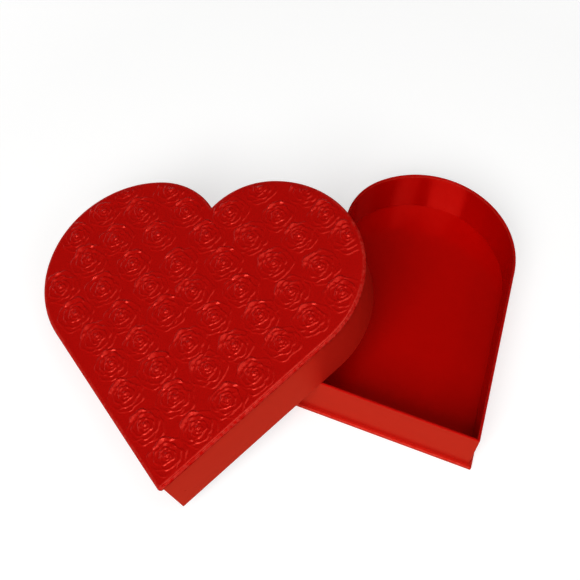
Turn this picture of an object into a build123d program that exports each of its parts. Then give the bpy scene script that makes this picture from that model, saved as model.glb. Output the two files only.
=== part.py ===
"""Heart-shaped paperboard gift box: an open tray and its lift-off lid, which leans on the tray.

Millimetres, +Z up. The tray stands on the floor at Z = 0 with its tip towards -Y, and the origin
lies under the middle of the line between the two lobe centres.
"""
import os
from math import acos, asin, atan2, cos, degrees, radians, sin, sqrt

from build123d import *

# Heart outline, taken on the outside of the tray's wall
lobe_radius = 61.5
lobe_spacing = 77.0
cleft_drop = 23.4
half_tip_angle = 42.4

# Board, card and paper stock
panel_board = 2.6
wall_board = 0.8
floor_card = 0.8
paper = 0.2
stay_tape = 0.1
glue_line = 0.05

# Heights of the tray's wall above its base and of the lid's skirt below its top
tray_wall_height = 37.0
lid_skirt_depth = 40.6

# Clearances and margins
lid_clearance = 0.4
card_clearance = 0.15
edge_overhang = 2.1
panel_turn_in = 10.0
rim_turn_in = 12.0
lining_reveal = 1.0
stay_leg = 10.0

# How the lid leans: where along the tray's side it rests, its turn, and its clearance there
lid_rest_share = 0.832
lid_turn = 34.3
rest_clearance = 0.3

# Sizes that follow from the ones above
panel_thickness = panel_board + 2 * paper
wall_thickness = wall_board + stay_tape + 3 * paper + 4 * glue_line
skirt_face = lid_clearance + wall_thickness
tray_height = panel_thickness + tray_wall_height
lid_height = panel_thickness + lid_skirt_depth

# Curves of the heart: a lobe arc up to the crown, then a tighter crown arc down to the cleft
half_spacing = lobe_spacing / 2
slope = radians(half_tip_angle)
crown_radius = (half_spacing**2 + cleft_drop**2) / (2 * cleft_drop)
crown_centre = Vector(half_spacing, lobe_radius - crown_radius)
cleft = Vector(0, lobe_radius - cleft_drop)
cleft_angle = degrees(atan2(cleft.Y - crown_centre.Y, -half_spacing))


def tip(grow):
    """Tip of the heart outline grown outwards by grow."""
    return Vector(0, -(half_spacing * cos(slope) + lobe_radius + grow) / sin(slope))


def side_end(grow):
    """Upper end of the straight side on the right, where the lobe arc takes over."""
    return Vector(half_spacing, 0) + Vector(cos(slope), -sin(slope)) * (lobe_radius + grow)


def notch(grow):
    """Point of the cleft where the two crown arcs of the grown outline meet."""
    return crown_centre + Vector(-half_spacing, sqrt((crown_radius + grow)**2 - half_spacing**2))


def heart(grow):
    """Face within the outline grown by grow; a shrunk outline turns round the cleft in an arc."""
    with BuildSketch() as face:
        with BuildLine():
            Line(tip(grow), side_end(grow))
            CenterArc((half_spacing, 0), lobe_radius + grow, -half_tip_angle, 90 + half_tip_angle)
            if grow < 0:
                CenterArc(crown_centre, crown_radius + grow, 90, cleft_angle - 90)
                CenterArc(cleft, -grow, cleft_angle - 180, 90 - cleft_angle)
            else:
                last_angle = 180 - degrees(acos(half_spacing / (crown_radius + grow)))
                CenterArc(crown_centre, crown_radius + grow, 90, last_angle - 90)
            mirror(about=Plane.YZ)
        make_face()
    return face.sketch


def band(outer, inner):
    """Ring between two heart outlines, such as the section of a wall."""
    with BuildSketch() as ring:
        add(heart(outer))
        add(heart(inner), mode=Mode.SUBTRACT)
    return ring.sketch


def leaning_lid():
    """Plane on the lid's top, facing into the lid, with its skirt resting on the tray and the floor.

    The skirt's inner edge lies on the rim's outer edge at two places, on the tray's left side and
    on the crown of its left lobe, and the far lobe of the skirt reaches down to the floor.
    """
    lid_tip = tip(lid_clearance)
    along_side = Vector(sin(slope), cos(slope))
    side_rest = tip(0) + (side_end(0) - tip(0)) * lid_rest_share
    side_rest = Vector(-side_rest.X, side_rest.Y)
    crown_rest = Vector(-half_spacing, lobe_radius)
    chord = crown_rest - side_rest

    # The same two places on the lid's own outline, with the chord turned into the lid's axes
    turned = atan2(chord.Y, chord.X) + radians(lid_turn)
    to_crown = lid_tip + Vector(cos(turned), sin(turned)) * chord.length - crown_centre
    lead = to_crown.dot(along_side)
    arc_radius = crown_radius + lid_clearance
    run = sqrt(lead**2 - to_crown.dot(to_crown) + arc_radius**2) - lead
    lid_rest = lid_tip + along_side * run

    # Lean from the fall between the rim and the lowest point of the far lobe
    downhill = Vector(-sin(turned), cos(turned))
    reach = half_spacing * sin(turned) + lobe_radius + skirt_face - lid_rest.dot(downhill)
    lean = asin(tray_height / reach)
    level = chord.normalized()
    fall = Vector(-level.Y * cos(lean), level.X * cos(lean), -sin(lean))
    lid_x = level * cos(turned) - fall * sin(turned)
    lid_y = level * sin(turned) + fall * cos(turned)
    lid_up = lid_x.cross(lid_y)
    rest_height = Vector(0, 0, tray_height + rest_clearance)
    skirt_origin = side_rest + rest_height - lid_x * lid_rest.X - lid_y * lid_rest.Y
    return Plane(origin=skirt_origin + lid_up * lid_height, x_dir=-lid_x, z_dir=-lid_up)


def save(piece, name):
    """Labels a finished piece and writes it to its own file."""
    piece.part.label = name
    export_step(piece.part, f"parts/{name}.step")


os.makedirs("parts", exist_ok=True)

# Tray and lid are made alike: a wrapped panel, and a wall that rises from it to the open edge
tray = {
    "plane": Plane.XY,
    "face": 0.0,
    "wall_height": tray_wall_height,
    "panel": "tray_base",
    "inside": "tray_floor",
    "wall": "tray_wall",
    "corner": "tray",
    "sides": {"left": Keep.BOTTOM, "right": Keep.TOP},
}
lid = {
    "plane": leaning_lid(),
    "face": skirt_face,
    "wall_height": lid_skirt_depth,
    "panel": "lid_top",
    "inside": "lid_ceiling",
    "wall": "lid_skirt",
    "corner": "lid",
    "sides": {"left": Keep.TOP, "right": Keep.BOTTOM},
}

for half in (tray, lid):
    plane = half["plane"]
    foot = plane.offset(panel_thickness)
    wall_height = half["wall_height"]

    # Layers of the wall, from its outside in
    face = half["face"]
    wrap_back = face - paper
    tape_face = wrap_back - glue_line
    tape_back = tape_face - stay_tape
    board_face = tape_back - glue_line
    board_back = board_face - wall_board
    turn_in_face = board_back - glue_line
    turn_in_back = turn_in_face - paper
    lining_face = turn_in_back - glue_line
    inside = lining_face - paper

    # Panel board, which reaches past its own wall all round
    panel_edge = face + edge_overhang
    with BuildPart() as board:
        with BuildSketch(plane.offset(paper)):
            add(heart(panel_edge - paper - glue_line))
        extrude(amount=panel_board)
    save(board, f"{half['panel']}_board")

    # Paper over the panel board, round its edge and turned in over the margin
    with BuildPart() as panel_wrap:
        with BuildSketch(plane):
            add(heart(panel_edge))
        extrude(amount=panel_thickness)
        with BuildSketch(plane.offset(paper)):
            add(heart(panel_edge - paper))
        extrude(amount=panel_board, mode=Mode.SUBTRACT)
        with BuildSketch(plane.offset(paper + panel_board)):
            add(heart(panel_edge - panel_turn_in))
        extrude(amount=paper, mode=Mode.SUBTRACT)
    save(panel_wrap, f"{half['panel']}_wrap")

    # Card inside the wall, which holds the wall in shape
    with BuildPart() as card:
        with BuildSketch(foot):
            add(heart(inside - card_clearance))
        extrude(amount=floor_card)
    save(card, f"{half['inside']}_card")

    # Paper that covers the card
    with BuildPart() as liner:
        with BuildSketch(foot.offset(floor_card)):
            add(heart(inside - card_clearance))
        extrude(amount=paper)
    save(liner, f"{half['inside']}_liner")

    # Two strips of wall board that butt at the tip and at the cleft
    for side, keep in half["sides"].items():
        with BuildPart() as strip:
            with BuildSketch(foot):
                add(band(board_face, board_back))
                split(bisect_by=Plane.YZ, keep=keep)
            extrude(amount=wall_height - paper)
        save(strip, f"{half['wall']}_{side}")

    # Stay tape that joins the strips at both corners
    for corner, centre in {"tip": tip(tape_face), "cleft": notch(tape_face)}.items():
        with BuildPart() as stay:
            with BuildSketch(foot):
                add(band(tape_face, tape_back))
                with Locations(centre):
                    Circle(stay_leg, mode=Mode.INTERSECT)
            extrude(amount=wall_height - paper)
        save(stay, f"{half['corner']}_{corner}_stay")

    # Paper on the outside of the wall, over the open edge and turned in
    with BuildPart() as wall_wrap:
        with BuildSketch(foot):
            add(band(face, turn_in_back))
        extrude(amount=wall_height)
        with BuildSketch(foot):
            add(band(wrap_back, turn_in_face))
        extrude(amount=wall_height - paper, mode=Mode.SUBTRACT)
        with BuildSketch(foot):
            add(heart(wrap_back))
        extrude(amount=wall_height - rim_turn_in, mode=Mode.SUBTRACT)
    save(wall_wrap, f"{half['wall']}_wrap")

    # Paper that lines the inside of the wall
    with BuildPart() as lining:
        with BuildSketch(foot):
            add(band(lining_face, inside))
        extrude(amount=wall_height - lining_reveal)
    save(lining, f"{half['wall']}_lining")
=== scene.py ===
# %% [markdown]
# # A heart-shaped gift box in red paper
#
# The object is a set-up box: stiff greyboard panels and walls, taped at the corners and covered
# with red paper. Its lid, embossed all over with roses, leans on the open tray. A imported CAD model
# gives the frame, in metres, and every sheet here is built where that frame says, so nothing has to
# be moved into place afterwards.

# %% Load the frame
import math
import random

import bmesh
import bpy
import numpy as np
from mathutils import Matrix, Vector
from mathutils.geometry import delaunay_2d_cdt


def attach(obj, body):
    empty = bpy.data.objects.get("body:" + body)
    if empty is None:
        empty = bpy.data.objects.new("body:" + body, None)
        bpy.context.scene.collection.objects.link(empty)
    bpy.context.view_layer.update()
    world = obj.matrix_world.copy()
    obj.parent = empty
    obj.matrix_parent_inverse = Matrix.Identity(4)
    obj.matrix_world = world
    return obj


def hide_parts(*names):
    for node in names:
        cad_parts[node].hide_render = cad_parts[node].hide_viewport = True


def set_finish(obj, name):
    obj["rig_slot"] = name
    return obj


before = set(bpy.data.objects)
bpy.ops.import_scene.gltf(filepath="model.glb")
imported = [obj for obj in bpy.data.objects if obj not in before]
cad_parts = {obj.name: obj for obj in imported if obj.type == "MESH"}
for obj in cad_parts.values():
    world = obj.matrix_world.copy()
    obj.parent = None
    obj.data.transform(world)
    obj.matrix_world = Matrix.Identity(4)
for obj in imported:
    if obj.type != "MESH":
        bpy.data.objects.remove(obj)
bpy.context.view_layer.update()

# %% [markdown]
# ## The heart outline
#
# All sheets of the box follow one outline: two straight sides, two lobe arcs, and two tighter crown
# arcs that meet in the cleft. It could be a Bezier curve with a bevel, but then the points of two
# sheets would not match. Here each outline is worked out from the same arcs with the same number
# of points, so rings of different size and height can be joined with quads. Paper can't take a
# knife-sharp corner, so the tip and the cleft get a small round, and a sheet that lies far out
# turns the tip in a rounder bend.

# %% Outline of the heart
mm = 0.001
lobe_radius = 61.5
half_spacing = 38.5
cleft_drop = 23.4
slope = math.radians(42.4)
tip_round = 0.6
tip_round_from = 2.0
cleft_round = 0.4
crown_radius = (half_spacing**2 + cleft_drop**2) / (2 * cleft_drop)
crown_height = lobe_radius - crown_radius
tip_reach = half_spacing * math.cos(slope) + lobe_radius
point_count = {"tip": 5, "side": 30, "lobe": 72, "crown": 28, "cleft": 6}


def arc(x, y, radius, start, end, count):
    """Points of an arc in the plane, both ends included."""
    turn = np.linspace(start, end, count)
    return np.column_stack((x + radius * np.cos(turn), y + radius * np.sin(turn)))


def heart(grow):
    """Closed outline grown by grow mm, anticlockwise from the tip."""
    up = math.pi / 2
    rounding = max(tip_round, grow - tip_round_from)
    tip_centre = -(tip_reach + grow - rounding) / math.sin(slope)
    tip = arc(0, tip_centre, rounding, -up, -slope, point_count["tip"])
    lobe = arc(half_spacing, 0, lobe_radius + grow, -slope, up, point_count["lobe"])
    side = np.linspace(tip[-1], lobe[0], point_count["side"])[1:-1]
    notch = max(cleft_round, -grow)
    notch_height = math.sqrt((crown_radius + grow + notch) ** 2 - half_spacing**2)
    turn = math.atan2(notch_height, -half_spacing)
    crown = arc(half_spacing, crown_height, crown_radius + grow, up, turn, point_count["crown"])[1:]
    cleft = arc(0, crown_height + notch_height, notch, turn - math.pi, -up, point_count["cleft"])[1:]
    right = np.vstack((tip, side, lobe, crown, cleft))
    left = right[-2:0:-1] * (-1, 1)
    return np.vstack((right, left))


outline = heart(0)
outline_count = len(outline)
print("outline points", outline_count, "width in mm", round(np.ptp(outline[:, 0]), 1))

# %% [markdown]
# ## How far inside a point lies
#
# The roses on the lid stop short of its edge, and a fill of points has to stay inside the outline.
# Both need the distance from a point to the outline. Blender could measure that on a mesh, but the
# outline is made of a line and two arcs, so the distance is a short formula for each of them.

# %% Depth inside the heart
def depth(x, y):
    """How far inside the outline points lie, in mm; negative outside."""
    across = np.abs(x)
    side = tip_reach - across * math.cos(slope) + y * math.sin(slope)
    lobe = lobe_radius - np.hypot(across - half_spacing, y)
    crown = crown_radius - np.hypot(across - half_spacing, y - crown_height)
    along = (across - half_spacing) * math.sin(slope) + y * math.cos(slope)
    return np.where(along < 0, side, np.where(across > half_spacing, lobe, crown))


print("depth of a lobe's middle in mm", float(depth(half_spacing, 0)))

# %% [markdown]
# ## Where the two halves are
#
# Tray and lid are made alike: a panel, and a wall that rises from it to the open edge. Each half
# gets its own axes, with height counted from the outside of its panel into the box. The lid leans,
# and its place could be copied from the CAD source as numbers, but it is safer to read it from its
# panel board in the frame: the corner furthest from the middle is the heart's tip, the nearest one
# is the cleft, and the largest face gives the direction into the box.

# %% Axes of the tray and the lid
paper = 0.2
glue_line = 0.05
panel_thickness = 3.0
panel_edge = {"tray": 2.1, "lid": 4.2}


def corners_of(node):
    """Corner points of a CAD node, in metres."""
    return np.array([corner.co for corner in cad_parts[node].data.vertices])


def half_axes(body, board, card):
    """Matrix of a half's own axes, read from its panel board and the card inside it."""
    board_edge = panel_edge[body] - paper - glue_line
    corners = corners_of(board)
    largest = max(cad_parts[board].data.polygons, key=lambda face: face.area)
    inward = np.array(largest.normal)
    if (corners_of(card).mean(0) - corners.mean(0)) @ inward < 0:
        inward = -inward
    height = corners @ inward
    outer = corners[height < height.mean()]
    reach = np.linalg.norm(outer - outer.mean(0), axis=1)
    tip = outer[reach.argmax()]
    cleft = outer[reach.argmin()]
    along = (cleft - tip) / np.linalg.norm(cleft - tip)
    across = np.cross(along, inward)
    origin = tip + along * (tip_reach + board_edge) / math.sin(slope) * mm - inward * paper * mm
    axes = np.identity(4)
    axes[:3] = np.column_stack((across, along, inward, origin))
    return Matrix(axes.tolist())


axes_of = {
    "tray": half_axes("tray", "tray_base_board", "tray_floor_card"),
    "lid": half_axes("lid", "lid_top_board", "lid_ceiling_card"),
}
for body, axes in axes_of.items():
    print(body, "origin in mm", [round(value * 1000, 2) for value in axes.translation])

# %% [markdown]
# ## Folding paper round an edge
#
# Where paper goes over an edge it bends in a small round, and that round is what catches the light.
# A Bevel modifier could do it, but it bevels by angle and would also catch edges that stay sharp.
# So a fold is drawn once as a section: a list of corners, each with how far out it lies, how high,
# and its fold radius. Each fold becomes a short arc with a guard point on both sides, which keeps
# the long flats flat. A third number on each point says whether it lies on a fold, and the paper
# finish paints a paler red there, partly rubbed wear and partly a painted highlight on the fold.

# %% Fold a section
fold_points = 5
fold_guard = 0.7


def folded(corners):
    """Points (grow, height, fold) through corners (grow, height, radius), square folds rounded."""
    points = []
    for index, (grow, height, radius) in enumerate(corners):
        here = np.array((grow, height))
        if radius == 0:
            points.append((grow, height, 0.0))
            continue
        before = np.array(corners[index - 1][:2]) - here
        after = np.array(corners[(index + 1) % len(corners)][:2]) - here
        room_before = np.linalg.norm(before)
        room_after = np.linalg.norm(after)
        before = before / room_before
        after = after / room_after
        centre = here + radius * (before + after)
        guard = radius + fold_guard
        if room_before > 2 * guard:
            points.append((*(here + before * guard), 0.0))
        for turn in np.linspace(0, math.pi / 2, fold_points):
            spot = centre - radius * (math.cos(turn) * after + math.sin(turn) * before)
            points.append((*spot, 1.0))
        if room_after > 2 * guard:
            points.append((*(here + after * guard), 0.0))
    return points


print("a square fold becomes", len(folded([(0, 0, 0), (9, 0, 1), (9, 9, 0)])) - 2, "points")

# %% [markdown]
# ## Carrying a section round the heart
#
# On the real box one strip of paper is rolled along the whole rim, so its section is the same all
# the way round. The sections could be swept along a curve object, but a sweep pinches at the tip and
# in the cleft. Here each point of the section becomes a whole outline, grown and lifted, and quads
# join each outline to the next.

# %% Carry a section round
def carried_round(section):
    """Points and fold values of a section carried round the heart, ring by ring."""
    points = []
    folds = []
    for grow, height, fold in section:
        ring = heart(grow)
        points.append(np.column_stack((ring, np.full(len(ring), height))))
        folds.append(np.full(len(ring), fold))
    return np.vstack(points), np.concatenate(folds)


def ring_quads(rings, closed):
    """Quads between neighbouring rings; a closed section also joins the last ring to the first."""
    faces = []
    for ring in range(rings if closed else rings - 1):
        here = ring * outline_count
        there = (ring + 1) % rings * outline_count
        for step in range(outline_count):
            following = (step + 1) % outline_count
            faces.append((here + step, here + following, there + following, there + step))
    return faces


print("quads between two rings", len(ring_quads(2, False)))

# %% [markdown]
# ## From points to a sheet of paper
#
# Every paper of the box is its own object, as it is its own cut sheet in the workshop. The points
# are set on the half's axes, the normals are made to face outwards, and faces that meet at more than
# 60 degrees keep a sharp edge, as a cut edge of paper does. The sheet then rides on its half, so it
# moves with the lid or stays with the tray, and it stands for the plain CAD solid in its place.

# %% Add a sheet
sharp_angle = math.radians(60)


def add_sheet(name, body, points, faces, folds, node, slot):
    """Makes a sheet from points in mm on a half's axes, in place of a CAD node."""
    mesh = bpy.data.meshes.new(name)
    mesh.from_pydata((points * mm).tolist(), [], faces)
    mesh.transform(axes_of[body])
    attribute = mesh.attributes.new("fold", "FLOAT", "POINT")
    attribute.data.foreach_set("value", np.asarray(folds, np.float32))
    shape = bmesh.new()
    shape.from_mesh(mesh)
    bmesh.ops.recalc_face_normals(shape, faces=shape.faces)
    open_edges = sum(1 for edge in shape.edges if not edge.is_manifold)
    shape.to_mesh(mesh)
    shape.free()
    mesh.shade_smooth()
    mesh.set_sharp_from_angle(angle=sharp_angle)
    sheet = bpy.data.objects.new(name, mesh)
    bpy.context.scene.collection.objects.link(sheet)
    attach(sheet, body)
    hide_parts(node)
    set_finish(sheet, slot)
    print(name, len(mesh.vertices), "points,", open_edges, "open edges")
    return sheet


sheets = {}
print("edges over", round(math.degrees(sharp_angle)), "degrees stay sharp")

# %% [markdown]
# ## Wall paper and lining
#
# The outer paper goes up the wall, over the open edge and 12 mm down inside. The lining then covers
# its cut edge and stops 1 mm below the rim. Both could be one thick wall with a painted border, but
# the small step at the rim shows in the light, so each sheet gets its own closed section. The rim
# gets only a little of the paler fold red, partly wear and partly painted highlight, because the lid
# slides over the wall and hardly touches the edge.

# %% Wall paper and lining of both halves
rim_turn_in = 12.0
lining_reveal = 1.0
wall_board = 0.8
stay_tape = 0.1
rim_fold = 0.3
# Share of the paler fold red on the rims, partly wear and partly painted highlight
rim_wear_and_highlight = 0.15
lining_edge = 0.08
wall_face = {"tray": 0.0, "lid": 2.1}
wall_height = {"tray": 37.0, "lid": 40.6}
wall_name = {"tray": "tray_wall", "lid": "lid_skirt"}
inside_face = {}

for body, face in wall_face.items():
    rim = panel_thickness + wall_height[body]
    wrap_back = face - paper
    turn_in_face = wrap_back - stay_tape - wall_board - 3 * glue_line
    turn_in_back = turn_in_face - paper
    lining_face = turn_in_back - glue_line
    inside_face[body] = lining_face - paper
    name = wall_name[body]

    wrap = folded([
        (face, panel_thickness, 0),
        (face, rim, rim_fold),
        (turn_in_back, rim, rim_fold),
        (turn_in_back, rim - rim_turn_in, 0),
        (turn_in_face, rim - rim_turn_in, 0),
        (turn_in_face, rim - paper, 0),
        (wrap_back, rim - paper, 0),
        (wrap_back, panel_thickness, 0),
    ])
    points, folds = carried_round(wrap)
    sheets[name + "_paper"] = add_sheet(
        name + "_paper", body, points, ring_quads(len(wrap), True), rim_wear_and_highlight * folds,
        name + "_wrap", "red_paper",
    )

    top = rim - lining_reveal
    lining = folded([
        (lining_face, panel_thickness, 0),
        (lining_face, top, lining_edge),
        (inside_face[body], top, lining_edge),
        (inside_face[body], panel_thickness, 0),
    ])
    points, folds = carried_round(lining)
    sheets[name + "_lining_paper"] = add_sheet(
        name + "_lining_paper", body, points, ring_quads(len(lining), True), folds,
        name + "_lining", "lining_paper",
    )

# %% [markdown]
# ## Filling a heart with points
#
# A flat sheet that is to be pressed into a relief needs points all over it. A grid cut by the
# outline would leave ragged cells at the edge. A Delaunay fill takes the outline as fixed edges and
# any points inside, and joins them with even triangles. The points lie on rows that are shifted by
# half a step, which gives nearly equal-sided triangles.

# %% Fill of a heart
edge_room = 0.6
same_point = 1e-7
inside_only = 1


def filled(grow, step):
    """Points and triangles of a heart; the outline's own points come first."""
    outline = heart(grow)
    reach = math.ceil(abs(outline).max() / step) + 2
    row, column = np.mgrid[-2 * reach:2 * reach, -reach:reach]
    x = (column + row % 2 / 2).ravel() * step
    y = row.ravel() * step * math.sqrt(3) / 2
    inside = depth(x, y) > -grow + edge_room * step
    points = np.vstack((outline, np.column_stack((x[inside], y[inside]))))
    count = len(outline)
    edges = [(index, (index + 1) % count) for index in range(count)]
    corners = [Vector(point) for point in points]
    made = delaunay_2d_cdt(corners, edges, [], inside_only, same_point)
    return np.array([tuple(point) for point in made[0]]), made[2]


print("triangles in a coarse fill", len(filled(0, 20.0)[1]))

# %% [markdown]
# ## One embossed rose
#
# The top paper is pressed between a heated die and its counter, which raises roses about 23 mm wide.
# A pressed sheet has no overhangs, so one height for each point is enough, and no petal needs a mesh
# of its own. Each rose is laid as a real one grows: rings of petals from the outside in, each petal
# a shallow round cup that covers part of the one before it. A petal is highest at its lip and drops
# there in a short step, so the lips show as thin arcs that catch the light. The first petal of a
# ring is rolled back further. Every petal has a small seeded shift, so no two roses are alike.

# %% Rose die
rose_lean = (-0.10, -0.14)
rose_turn = 0.5
petal_turn = 0.14
petal_spread = 0.06
lip_step = 1.2
lip_waves = 5
lip_wave_start = 6
lip_ripple = 0.05
ripple_lift = 4
curl_power = 2
roll_power = 1.1
roll_width = 1.6

# Petals in the ring, angle of the first one in degrees, radius and distance from the middle in mm,
# height of the lip and the hollow, width of the curled lip, and how much higher the rolled one is
petal_columns = ("petals", "first", "radius", "away", "lip", "hollow", "curl", "rolled")
petal_rows = [
    (5, 50, 7.2, 4.6, 0.48, 0.06, 2.4, 0.75),
    (4, 72, 5.4, 3.0, 0.64, 0.18, 2.0, 0.3),
    (3, 40, 3.6, 1.6, 0.82, 0.33, 1.6, 0.2),
    (2, 60, 2.2, 0.7, 0.96, 0.50, 1.2, 0),
    (1, 60, 1.3, 0.2, 0.86, 1.25, 1.3, 0),
]
petal_rings = [dict(zip(petal_columns, row)) for row in petal_rows]
die_seed = random.Random(14)


def smooth(value):
    """Eases from 0 to 1."""
    value = np.clip(value, 0, 1)
    return value * value * (3 - 2 * value)


def rose_height(x, y):
    """Height of one rose above the ground of the sheet, in mm, about its middle."""
    height = np.zeros(len(x))
    turn = die_seed.uniform(-rose_turn, rose_turn)
    for ring in petal_rings:
        for petal in range(ring["petals"]):
            aim = math.radians(ring["first"]) + 2 * math.pi * petal / ring["petals"]
            aim += turn + die_seed.uniform(-petal_turn, petal_turn)
            radius = ring["radius"] * die_seed.uniform(1 - petal_spread, 1 + petal_spread)
            middle_x = ring["away"] * math.cos(aim) + rose_lean[0] * radius
            middle_y = ring["away"] * math.sin(aim) + rose_lean[1] * radius
            around = lip_waves * np.arctan2(y - middle_y, x - middle_x)
            ripple = lip_ripple * np.sin(around + die_seed.uniform(0, lip_wave_start))
            inside = radius * (1 + ripple) - np.hypot(x - middle_x, y - middle_y)
            rolled = ring["rolled"] if petal == 0 else 0
            curl_width = ring["curl"] + roll_width * rolled
            curl = np.clip(1 - inside / curl_width, 0, 1) ** (roll_power if rolled else curl_power)
            lip = (ring["lip"] + rolled) * (1 + ripple_lift * ripple)
            petal_height = ring["hollow"] + (lip - ring["hollow"]) * curl
            height += (petal_height - height) * smooth(inside / lip_step + 0.5)
    return height


print("petals in a rose", sum(ring["petals"] for ring in petal_rings))

# %% [markdown]
# ## The whole embossing
#
# The die repeats its rose in staggered rows. Real rows are a little uneven, so each rose is shifted
# and sized by a seeded draw. An Array modifier would make every rose the same. Where two roses meet,
# the higher one wins, as if the die had been cut with both. A rose whose middle would lie past the
# edge is left out, because half a rose at the border looks like a torn sheet.

# %% Rows of roses
rose_pitch = 30.0
row_pitch = 17.7
top_row = 59.0
rose_rows = range(12)
rose_columns = range(-8, 9)
rose_shift = 2.0
rose_spread = 0.07
rose_margin = -3.0


def rose_relief(x, y):
    """Height of the whole embossing at points of the panel, in mm."""
    height = np.zeros(len(x))
    roses = 0
    for row in rose_rows:
        for column in rose_columns:
            middle_x = (column + row % 2 / 2) * rose_pitch
            middle_x += die_seed.uniform(-rose_shift, rose_shift)
            middle_y = top_row - row * row_pitch
            middle_y += die_seed.uniform(-rose_shift, rose_shift)
            if depth(middle_x, middle_y) < rose_margin:
                continue
            size = die_seed.uniform(1 - rose_spread, 1 + rose_spread)
            near = np.hypot(x - middle_x, y - middle_y) < rose_pitch / 2
            rose = rose_height((x[near] - middle_x) / size, (y[near] - middle_y) / size)
            height[near] = np.maximum(height[near], rose)
            roses += 1
    print("roses", roses, "highest in mm", round(height.max(), 2))
    return height


print("places for roses", len(rose_rows) * len(rose_columns))

# %% [markdown]
# ## Sections of a panel
#
# A panel is a heart of greyboard in a sheet of paper. The paper covers the outer face, goes round
# the edge and is turned in 10 mm on the other face. On the lid the board's edge is sanded round, so
# the paper turns in a wide soft bend there, which shows as a pale band in the light; a paler red is
# also painted along that band, partly wear and partly a painted highlight. The board is drawn to the
# same round, because the square CAD board would poke through the paper at the tip.

# %% Panel sections
panel_turn_in = 10.0
panel_flat = 8.0
panel_board = 2.6
hidden_side = 1.0
front_points = 2
outer_fold = {"tray": 0.35, "lid": 2.3}
inner_fold = 0.4
board_fold = 0.1
# Width in mm along the edge that loses its film and gets the paler red, partly wear and partly painted
# highlight
wear_and_highlight_margin = {"tray": 1.0, "lid": 1.6}


def panel_section(body):
    """Section of a panel's paper, from the outer fold to the turn-in and back on its hidden side.

    The flat before the fold is left out, because the filled front takes its place.
    """
    edge = panel_edge[body]
    turned_in = edge - panel_turn_in
    section = folded([
        (edge - panel_flat, 0, 0),
        (edge, 0, outer_fold[body]),
        (edge, panel_thickness, inner_fold),
        (turned_in, panel_thickness, 0),
        (turned_in, panel_thickness - paper, 0),
        (edge - hidden_side, panel_thickness - paper, 0),
        (edge - hidden_side, paper, 0),
    ])[front_points:]
    wear_and_highlight_from = edge - wear_and_highlight_margin[body]
    return [(grow, height, float(grow > wear_and_highlight_from)) for grow, height, _ in section]


def board_section(body):
    """Section of a panel's board, with the outer edge sanded round to suit the paper."""
    edge = panel_edge[body] - paper - glue_line
    return folded([
        (edge - panel_flat, paper, 0),
        (edge, paper, max(outer_fold[body] - paper, board_fold)),
        (edge, paper + panel_board, board_fold),
        (edge - panel_flat, paper + panel_board, 0),
    ])[front_points:]


for body in axes_of:
    print(body, "section points: paper", len(panel_section(body)), "board", len(board_section(body)))

# %% [markdown]
# ## Closing a section to a sheet
#
# A section carried round the outline draws only the edge of a panel. Filled hearts close it on both
# sides and share the points of its first and last ring, so the sheet is one closed mesh with no seam
# and can be pressed into the relief. The front may have a finer step than the back, which keeps the
# mesh small where nothing is embossed.

# %% Close a section
plain_step = 6.0


def closed_sheet(section, front_step, raised_by):
    """Points, faces and fold values of a section carried round, with a filled front and back."""
    edge_points, edge_folds = carried_round(section)
    points = [edge_points]
    faces = ring_quads(len(section), False)
    start = len(edge_points)
    for ring, step in ((0, front_step), (len(section) - 1, plain_step)):
        grow, level, _ = section[ring]
        flat, triangles = filled(grow, step)
        inner = flat[outline_count:]
        height = np.full(len(inner), level)
        if ring == 0 and raised_by:
            height = level - raised_by(inner[:, 0], inner[:, 1])
        points.append(np.column_stack((inner, height)))
        shift = np.full(len(flat), start - outline_count)
        shift[:outline_count] = ring * outline_count
        for triangle in triangles:
            faces.append([int(corner + shift[corner]) for corner in triangle])
        start += len(inner)
    folds = np.zeros(start)
    folds[:len(edge_folds)] = edge_folds
    return np.vstack(points), faces, folds


slab_points, slab_faces, _ = closed_sheet([(0, 0, 0.0), (0, panel_thickness, 0.0)], plain_step, None)
print("a plain heart of board has", len(slab_points), "points and", len(slab_faces), "faces")

# %% [markdown]
# ## The two panels
#
# The greyboards come first, as they do in the workshop. The lid's paper then carries the roses, and
# the tray's is plain. A bump texture would be lighter than a raised mesh, but it would show no
# outline from the side and no real shadow. The relief fades out just before the edge, where the
# sheet is pulled tight over the board.

# %% Boards and papers of the lid's top and the tray's base
relief_step = 0.4
relief_fade = 3.0


def embossing(x, y):
    """Relief of the lid's top, fading towards the folded edge."""
    from_fold = depth(x, y) + panel_edge["lid"] - outer_fold["lid"]
    return rose_relief(x, y) * smooth(from_fold / relief_fade)


for body, name in (("tray", "tray_base"), ("lid", "lid_top")):
    sheets[name + "_greyboard"] = add_sheet(
        name + "_greyboard", body, *closed_sheet(board_section(body), plain_step, None),
        name + "_board", "greyboard",
    )
sheets["lid_top_paper"] = add_sheet(
    "lid_top_paper", "lid", *closed_sheet(panel_section("lid"), relief_step, embossing),
    "lid_top_wrap", "rose_paper",
)
sheets["tray_base_paper"] = add_sheet(
    "tray_base_paper", "tray", *closed_sheet(panel_section("tray"), plain_step, None),
    "tray_base_wrap", "red_paper",
)

# %% [markdown]
# ## Papers on the tray's floor and the lid's ceiling
#
# A loose sheet is glued on the card inside each half. It is cut a little large, so it rises towards
# the wall in a shallow dish, 1.5 mm over the last 30 mm. A flat glossy sheet would be simpler, but it
# meets the wall at a right angle, and that corner sends the lamps straight back as a false bright
# patch on the floor. The dish keeps the gloss on the wall and off the floor.

# %% Floor and ceiling papers
floor_card = 0.8
liner_clearance = 0.02
dish_width = 30.0
dish_rise = 1.5
dish_rings = 16

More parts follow.
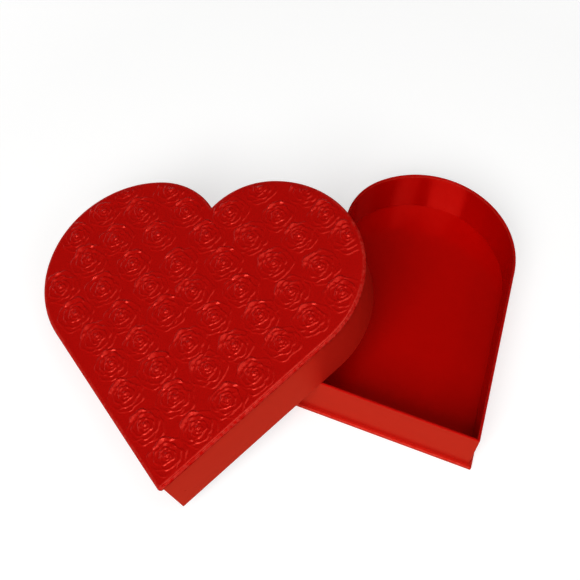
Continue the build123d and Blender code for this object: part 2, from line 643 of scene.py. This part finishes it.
for body, name in (("tray", "tray_floor"), ("lid", "lid_ceiling")):
    floor_level = panel_thickness + floor_card
    edge = inside_face[body] - liner_clearance
    dish = []
    for share in np.linspace(0, 1, dish_rings):
        height = floor_level + paper + dish_rise * share**2
        dish.append((edge - dish_width * (1 - share), height, 0.0))
    dish.append((edge, floor_level, 0.0))
    sheets[name + "_paper"] = add_sheet(
        name + "_paper", body, *closed_sheet(dish, plain_step, None),
        name + "_liner", "lining_paper",
    )

# %% [markdown]
# ## Helpers for the finishes
#
# Every finish is a node tree, so it needs no image and no unwrapped mesh. Colours are written as
# sRGB hex values, as a colour picker shows them, and turned to linear once, because the shader
# works in linear light. One small function adds any node with its settings and links.

# %% Colour and node helpers
# A Mix node has sockets for each kind of data, so its colour sockets are called by number
mix_share, mix_first, mix_second, mix_result = 0, 6, 7, 2


def linear(code):
    """Linear colour of an sRGB hex value."""
    parts = [int(code[index:index + 2], 16) / 255 for index in (1, 3, 5)]
    bright = [p / 12.92 if p <= 0.04045 else ((p + 0.055) / 1.055) ** 2.4 for p in parts]
    return (*bright, 1.0)


def add(tree, kind, inputs, **settings):
    """Adds a node, sets its properties, and fills its inputs with values or links."""
    node = tree.nodes.new(kind)
    for title, value in settings.items():
        setattr(node, title, value)
    for socket, value in inputs.items():
        if isinstance(value, bpy.types.NodeSocket):
            tree.links.new(value, node.inputs[socket])
        else:
            node.inputs[socket].default_value = value
    return node


def new_finish(name):
    """New material and its empty node tree."""
    finish = bpy.data.materials.new(name)
    finish.use_nodes = True
    finish.node_tree.nodes.clear()
    return finish, finish.node_tree


print("paper red in linear light", [round(part, 4) for part in linear("#BA0906")])

# %% [markdown]
# ## Colour of the red papers
#
# The papers of the box are dyed through. Fibres lie thicker in some places, which clouds the colour
# in patches of about 7 mm, and along the folds paler spots are painted, partly rubbed wear and
# partly a painted highlight where the folds catch the light. An image of paper could give this, but
# noise has no border and no fixed size. The fold value that was stored on the points of each sheet
# says where the spots may come.

# %% Colour of the paper
cloud_size = 7.0
wear_and_highlight_spot_size = 2.2


def paper_colour(tree, place, clouds, body, cloud, wear_and_highlight_red):
    """Colour of dyed paper: two reds in clouds, and a paler one in spots along the folds."""
    clouded = add(
        tree, "ShaderNodeMix",
        {mix_share: clouds, mix_first: linear(body), mix_second: linear(cloud)},
        data_type="RGBA",
    )
    # Paler spots along the folds: partly rubbed wear, partly a painted highlight where the folds catch
    # the light
    spots = add(
        tree, "ShaderNodeTexNoise", {"Vector": place, "Scale": 1000 / wear_and_highlight_spot_size, "Detail": 3.0},
    )
    wear_and_highlight = add(
        tree, "ShaderNodeMapRange",
        {"Value": spots.outputs["Fac"], "From Min": 0.35, "From Max": 0.7, "To Max": 0.55},
    )
    fold = add(tree, "ShaderNodeAttribute", {}, attribute_name="fold")
    wear_and_highlight_on_folds = add(
        tree, "ShaderNodeMath", {0: wear_and_highlight.outputs[0], 1: fold.outputs["Fac"]}, operation="MULTIPLY",
    )
    colour = add(
        tree, "ShaderNodeMix",
        {
            mix_share: wear_and_highlight_on_folds.outputs[0],
            mix_first: clouded.outputs[mix_result],
            mix_second: linear(wear_and_highlight_red),
        },
        data_type="RGBA",
    )
    return colour.outputs[mix_result]


print("clouds", cloud_size, "mm, rubbed spots", wear_and_highlight_spot_size, "mm")

# %% [markdown]
# ## Surface of the red papers
#
# Paper that is glued to board dries with slow, faint waves, and it has a fine tooth of its own. Both
# are too shallow for the mesh, so two bump nodes do it, one on top of the other. The waves bend the
# mirrored lamps a little, and the tooth breaks up their borders.

# %% Surface of the paper
wave_size = 34.0
# The tooth of real paper is below 0.1 mm, too fine to show, so it is drawn coarser
tooth_size = 0.6


def paper_grain(tree, place):
    """Normal of glued paper, with slow waves and a fine tooth."""
    wave = add(
        tree, "ShaderNodeTexNoise", {"Vector": place, "Scale": 1000 / wave_size, "Detail": 1.0},
    )
    waved = add(
        tree, "ShaderNodeBump", {"Height": wave.outputs["Fac"], "Strength": 0.12, "Distance": 0.001},
    )
    tooth = add(
        tree, "ShaderNodeTexNoise", {"Vector": place, "Scale": 1000 / tooth_size, "Detail": 2.0},
    )
    grain = add(
        tree, "ShaderNodeBump",
        {
            "Height": tooth.outputs["Fac"],
            "Normal": waved.outputs[0],
            "Strength": 0.06,
            "Distance": 0.0002,
        },
    )
    return grain.outputs[0]


print("waves", wave_size, "mm, tooth", tooth_size, "mm")

# %% [markdown]
# ## Varnish on the red papers
#
# The varnish holds a little red pearl pigment, and such a sheet does three things with light. The
# dyed fibres give the deep red itself. The pearl mirrors light tinted red, which a share of Metallic
# draws. The clear film on top mirrors it white, which the specular level draws, with an IOR of 1.5
# as varnish has. A second shader for the film would also work, but one shader exports better. One
# function makes all four papers, because they differ only in these amounts.

# %% Varnished red paper
varnish_ior = 1.5
uneven_gloss = 0.05


def red_paper(name, body, cloud, wear_and_highlight_red, roughness, pearl, film, glancing):
    """Dyed and varnished paper; pearl is its red mirror share, film its white one."""
    finish, tree = new_finish(name)
    place = add(tree, "ShaderNodeTexCoord", {}).outputs["Object"]
    noise = add(
        tree, "ShaderNodeTexNoise", {"Vector": place, "Scale": 1000 / cloud_size, "Detail": 5.0},
    )
    clouds = noise.outputs["Fac"]
    gloss = {"To Min": roughness - uneven_gloss, "To Max": roughness + uneven_gloss}
    dull = add(tree, "ShaderNodeMapRange", {"Value": clouds, **gloss})
    surface = add(
        tree, "ShaderNodeBsdfPrincipled",
        {
            "Base Color": paper_colour(tree, place, clouds, body, cloud, wear_and_highlight_red),
            "Roughness": dull.outputs[0],
            "Metallic": pearl,
            "IOR": varnish_ior,
            "Specular IOR Level": film,
            "Specular Tint": linear(glancing),
            "Normal": paper_grain(tree, place),
        },
    )
    add(tree, "ShaderNodeOutputMaterial", {"Surface": surface.outputs[0]})
    return finish


print("varnish IOR", varnish_ior, "roughness varies by", uneven_gloss)

# %% [markdown]
# ## The four red papers
#
# The lid's top is a hot-embossed sheet, its edge and the rims are the same sheet with the varnish
# rubbed off, the walls are covered in a satin sheet, and the inside is lined with a glossy one. One
# paper for all would be less work, but the photograph shows the walls more orange than the lid, and
# only the lining mirrors the lamps.

# %% Red papers
# Embossed varnished paper: deep red ground, red sheen on the slopes, pink glints on the petal lips
embossed_paper = red_paper(
    "embossed_varnished_paper", body="#BA0906", cloud="#C20B07", wear_and_highlight_red="#D8463A",
    roughness=0.25, pearl=0.16, film=0.45, glancing="#FFA084",
)
# Rubbed edge paper: no white glint, because the film is gone, and paler red in small spots,
# partly wear and partly painted highlight
edge_paper = red_paper(
    "rubbed_edge_paper", body="#BA0906", cloud="#C20B07", wear_and_highlight_red="#D8463A",
    roughness=0.30, pearl=0.20, film=0.0, glancing="#FFA084",
)
# Varnished cover paper: a satin orange-red that takes on some of the pale floor at a glancing angle
cover_paper = red_paper(
    "varnished_cover_paper", body="#C41E13", cloud="#CA2216", wear_and_highlight_red="#D84A3C",
    roughness=0.30, pearl=0.25, film=0.0, glancing="#FFF3D7",
)
# Glossy lining paper: smooth from the rollers, so the lamps show on it as patches with clear borders
lining_paper = red_paper(
    "glossy_lining_paper", body="#BB0300", cloud="#C30401", wear_and_highlight_red="#D8463A",
    roughness=0.13, pearl=0.18, film=0.45, glancing="#FFA084",
)
print("papers", [finish.name for finish in (embossed_paper, edge_paper, cover_paper, lining_paper)])

# %% [markdown]
# ## Greyboard and gummed tape
#
# The boards are pressed from waste paper, a dull grey-brown full of flecks. The stay tape is brown
# kraft paper with long fibres. Little of them shows in the closed box, but they are there when it
# is opened up. Both are noise on a rough surface; stretching the noise along the height turns
# flecks into fibres, so one function makes both.

# %% Greyboard and tape
fleck_size = 1.4
fibre_length = 9.0
fibre_width = 0.5


def pulp_board(name, body, fleck, stretch):
    """Pressed pulp with flecks; stretch is how often they come in a metre along each axis."""
    finish, tree = new_finish(name)
    place = add(tree, "ShaderNodeTexCoord", {}).outputs["Object"]
    scaled = add(tree, "ShaderNodeMapping", {"Vector": place, "Scale": stretch})
    flecks = add(
        tree, "ShaderNodeTexNoise", {"Vector": scaled.outputs[0], "Scale": 1.0, "Detail": 6.0},
    )
    spread = add(
        tree, "ShaderNodeMapRange",
        {"Value": flecks.outputs["Fac"], "From Min": 0.4, "From Max": 0.7},
    )
    colour = add(
        tree, "ShaderNodeMix",
        {mix_share: spread.outputs[0], mix_first: linear(body), mix_second: linear(fleck)},
        data_type="RGBA",
    )
    rough = add(
        tree, "ShaderNodeBump", {"Height": flecks.outputs["Fac"], "Strength": 0.2, "Distance": 0.0003},
    )
    surface = add(
        tree, "ShaderNodeBsdfPrincipled",
        {
            "Base Color": colour.outputs[mix_result],
            "Roughness": 0.9,
            "IOR": 1.45,
            "Normal": rough.outputs[0],
        },
    )
    add(tree, "ShaderNodeOutputMaterial", {"Surface": surface.outputs[0]})
    return finish


# Grey pulp board: dull and speckled, with no gloss at any angle
per_fleck = 1000 / fleck_size
greyboard = pulp_board("grey_pulp_board", "#8C857A", "#6E675E", (per_fleck, per_fleck, per_fleck))
# Gummed kraft tape: warm brown with streaks that run up the corner
per_width = 1000 / fibre_width
per_length = 1000 / fibre_length
kraft_tape = pulp_board("gummed_kraft_tape", "#B58A58", "#94693B", (per_width, per_width, per_length))
print("boards", greyboard.name, kraft_tape.name)

# %% [markdown]
# ## Giving each piece its finish
#
# Each sheet was given a slot of the record when it was made, and the slot decides its finish. The
# CAD solids that still show their own shape get board or tape. A piece can hold two materials: the
# faces whose corners all lie on a fold get the rubbed paper, so the lid's edge and both rims lose
# their white glint where hands and lid have worn the varnish.

# %% Finish of each piece
finish_of = {
    "rose_paper": embossed_paper,
    "red_paper": cover_paper,
    "lining_paper": lining_paper,
    "greyboard": greyboard,
    "stay_tape": kraft_tape,
}
for sheet in sheets.values():
    sheet.data.materials.append(finish_of[sheet["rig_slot"]])

worn_from = 0.1
for name in ("lid_top_paper", "tray_wall_paper", "lid_skirt_paper"):
    mesh = sheets[name].data
    mesh.materials.append(edge_paper)
    wear_and_highlight = np.array([spot.value for spot in mesh.attributes["fold"].data]) > worn_from
    for face in mesh.polygons:
        face.material_index = int(wear_and_highlight[list(face.vertices)].all())
    print(name, "rubbed faces", sum(face.material_index for face in mesh.polygons))

for name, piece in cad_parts.items():
    if not piece.hide_render:
        piece.data.materials.clear()
        piece.data.materials.append(kraft_tape if name.endswith("_stay") else greyboard)
print("CAD nodes", len(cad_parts), "of which replaced by sheets", len(sheets))

# %% [markdown]
# ## Rays that see a white studio
#
# The photograph has a white background. More light would whiten it too, but it would also bleach
# the reds. The Light Path node tells what a ray is for, so floor and surround can be white for
# the camera and for gloss, and stay dim for the light that falls on the box.

# %% Seen rays
def seen_rays(tree):
    """1 for rays from the camera, or by way of gloss and glass, which are to see a white studio."""
    path = add(tree, "ShaderNodeLightPath", {}).outputs
    kinds = {0: path["Is Camera Ray"], 1: path["Is Glossy Ray"]}
    direct = add(tree, "ShaderNodeMath", kinds, operation="MAXIMUM")
    kinds = {0: direct.outputs[0], 1: path["Is Transmission Ray"]}
    return add(tree, "ShaderNodeMath", kinds, operation="MAXIMUM").outputs[0]


print("white for camera, glossy and transmission rays")

# %% [markdown]
# ## White studio floor
#
# The box lies on a plain white surface. A pure white floor would have no room left for a shadow, so
# the floor is a light grey that takes shadows, with some white glow for the rays that are seen. The
# glow grows with distance, and the floor runs out to white like a paper sweep.

# %% Floor
floor_width = 8.0
glow_start = 0.3
glow_end = 1.5
glow_near = 0.57
glow_far = 0.95


def flat_square(name, width):
    """Square on the ground about the origin."""
    half = width / 2
    corners = [(-half, -half, 0), (half, -half, 0), (half, half, 0), (-half, half, 0)]
    mesh = bpy.data.meshes.new(name)
    mesh.from_pydata(corners, [], [(0, 1, 2, 3)])
    square = bpy.data.objects.new(name, mesh)
    bpy.context.scene.collection.objects.link(square)
    return square


floor = flat_square("floor", floor_width)
# Matt studio white: no gloss, so the box leaves a shadow on it but no mirror image
floor_finish, tree = new_finish("white_studio_floor")
place = add(tree, "ShaderNodeTexCoord", {}).outputs["Object"]
away = add(tree, "ShaderNodeVectorMath", {0: place}, operation="LENGTH")
whiter = add(
    tree, "ShaderNodeMapRange",
    {
        "Value": away.outputs["Value"],
        "From Min": glow_start,
        "From Max": glow_end,
        "To Min": glow_near,
        "To Max": glow_far,
    },
)
glow = add(
    tree, "ShaderNodeMath", {0: seen_rays(tree), 1: whiter.outputs[0]}, operation="MULTIPLY",
)
mottle = add(tree, "ShaderNodeTexNoise", {"Scale": 3.0})
white = add(
    tree, "ShaderNodeMix",
    {mix_share: mottle.outputs["Fac"], mix_first: linear("#C8C8C7"), mix_second: linear("#C5C5C4")},
    data_type="RGBA",
)
surface = add(
    tree, "ShaderNodeBsdfPrincipled",
    {
        "Base Color": white.outputs[mix_result],
        "Roughness": 0.9,
        "Specular IOR Level": 0.0,
        "Emission Color": (1, 1, 1, 1),
        "Emission Strength": glow.outputs[0],
    },
)
add(tree, "ShaderNodeOutputMaterial", {"Surface": surface.outputs[0]})
floor.data.materials.append(floor_finish)
print("floor", floor_width, "m wide, glow from", glow_near, "to", glow_far)

# %% [markdown]
# ## Lamps
#
# The photograph tells where its lamps were: the glossy far wall of the tray shows two bright patches,
# and the left part of the tray lies in the lid's shadow. So a large soft lamp stands at the front
# left and a small one in front, each where its patch comes out right. A weak lamp at the right and
# a wide one overhead fill in. Area lamps are used because their edges are soft, as a softbox's are.

# %% Lamps
lamp_target = Vector((-0.04, 0.0, 0.03))
lamp_distance = 2.4


def soft_lamp(name, side, height, width, watts):
    """Square lamp that faces the box; side in degrees from the front to the right, height above it."""
    around = math.radians(side)
    above = math.radians(height)
    level = math.cos(above)
    way = Vector((math.sin(around) * level, -math.cos(around) * level, math.sin(above)))
    light = bpy.data.lights.new(name, "AREA")
    light.size = width
    light.energy = watts
    lamp = bpy.data.objects.new(name, light)
    lamp.location = lamp_target + way * lamp_distance
    lamp.rotation_mode = "QUATERNION"
    lamp.rotation_quaternion = way.to_track_quat("Z", "Y")
    bpy.context.scene.collection.objects.link(lamp)
    return lamp


lamps = [
    soft_lamp("left_lamp", side=-51, height=44, width=1.2, watts=38.5),
    soft_lamp("front_lamp", side=-1.5, height=45, width=0.7, watts=7.2),
    soft_lamp("right_lamp", side=60, height=45, width=1.0, watts=2.4),
    soft_lamp("top_lamp", side=-20, height=80, width=1.5, watts=13.0),
]
print("lamps", [(lamp.name, round(lamp.data.energy, 1)) for lamp in lamps])

# %% [markdown]
# ## Surround
#
# Past the floor the camera sees the world, which is white up to a low horizon and nearly dark above.
# A white world all round would be simpler, but the varnish would mirror it from every side and the
# reds would turn pink. For light that falls on the box the world is an even, weak fill.

# %% Surround
horizon_low = 0.10
horizon_high = 0.15
white_level = 1.0
fill_level = 0.06

surround = bpy.data.worlds.new("studio_surround")
surround.use_nodes = True
tree = surround.node_tree
tree.nodes.clear()
way = add(tree, "ShaderNodeTexCoord", {})
level = add(tree, "ShaderNodeSeparateXYZ", {"Vector": way.outputs["Generated"]})
horizon = add(
    tree, "ShaderNodeMapRange",
    {
        "Value": level.outputs["Z"],
        "From Min": horizon_low,
        "From Max": horizon_high,
        "To Min": white_level,
        "To Max": fill_level,
    },
)
seen = add(
    tree, "ShaderNodeMapRange",
    {"Value": seen_rays(tree), "To Min": fill_level, "To Max": horizon.outputs[0]},
)
glow = add(tree, "ShaderNodeBackground", {"Color": (1, 1, 1, 1), "Strength": seen.outputs[0]})
add(tree, "ShaderNodeOutputWorld", {"Surface": glow.outputs[0]})
bpy.context.scene.world = surround
bpy.context.scene.view_settings.view_transform = "Standard"
print("surround", white_level, "below the horizon,", fill_level, "above")

# %% [markdown]
# ## Camera
#
# The photograph was taken from above and in front. Its viewpoint could be found by trial, but the
# outlines of lid and tray fix it well: about 72 cm away, 60 degrees above the table and rolled a
# few degrees. The focal length was found in pixels of the picture and is turned to millimetres.

# %% Camera
image_width = 580
focal_pixels = 1049.0
eye = Vector((-229.23, -286.63, 623.20)) * mm
target = Vector((-44.00, 29.98, 0.0)) * mm
roll = math.radians(4.391)
lens = bpy.data.cameras.new("camera")
lens.sensor_width = 36.0
lens.lens = lens.sensor_width * focal_pixels / image_width
camera = bpy.data.objects.new("camera", lens)
bpy.context.scene.collection.objects.link(camera)
camera.location = eye
camera.rotation_mode = "QUATERNION"
rolled = Matrix.Rotation(roll, 3, "Z").to_quaternion()
camera.rotation_quaternion = (eye - target).to_track_quat("Z", "Y") @ rolled
bpy.context.scene.camera = camera
print("lens", round(lens.lens, 2), "mm, distance", round((eye - target).length, 3), "m")
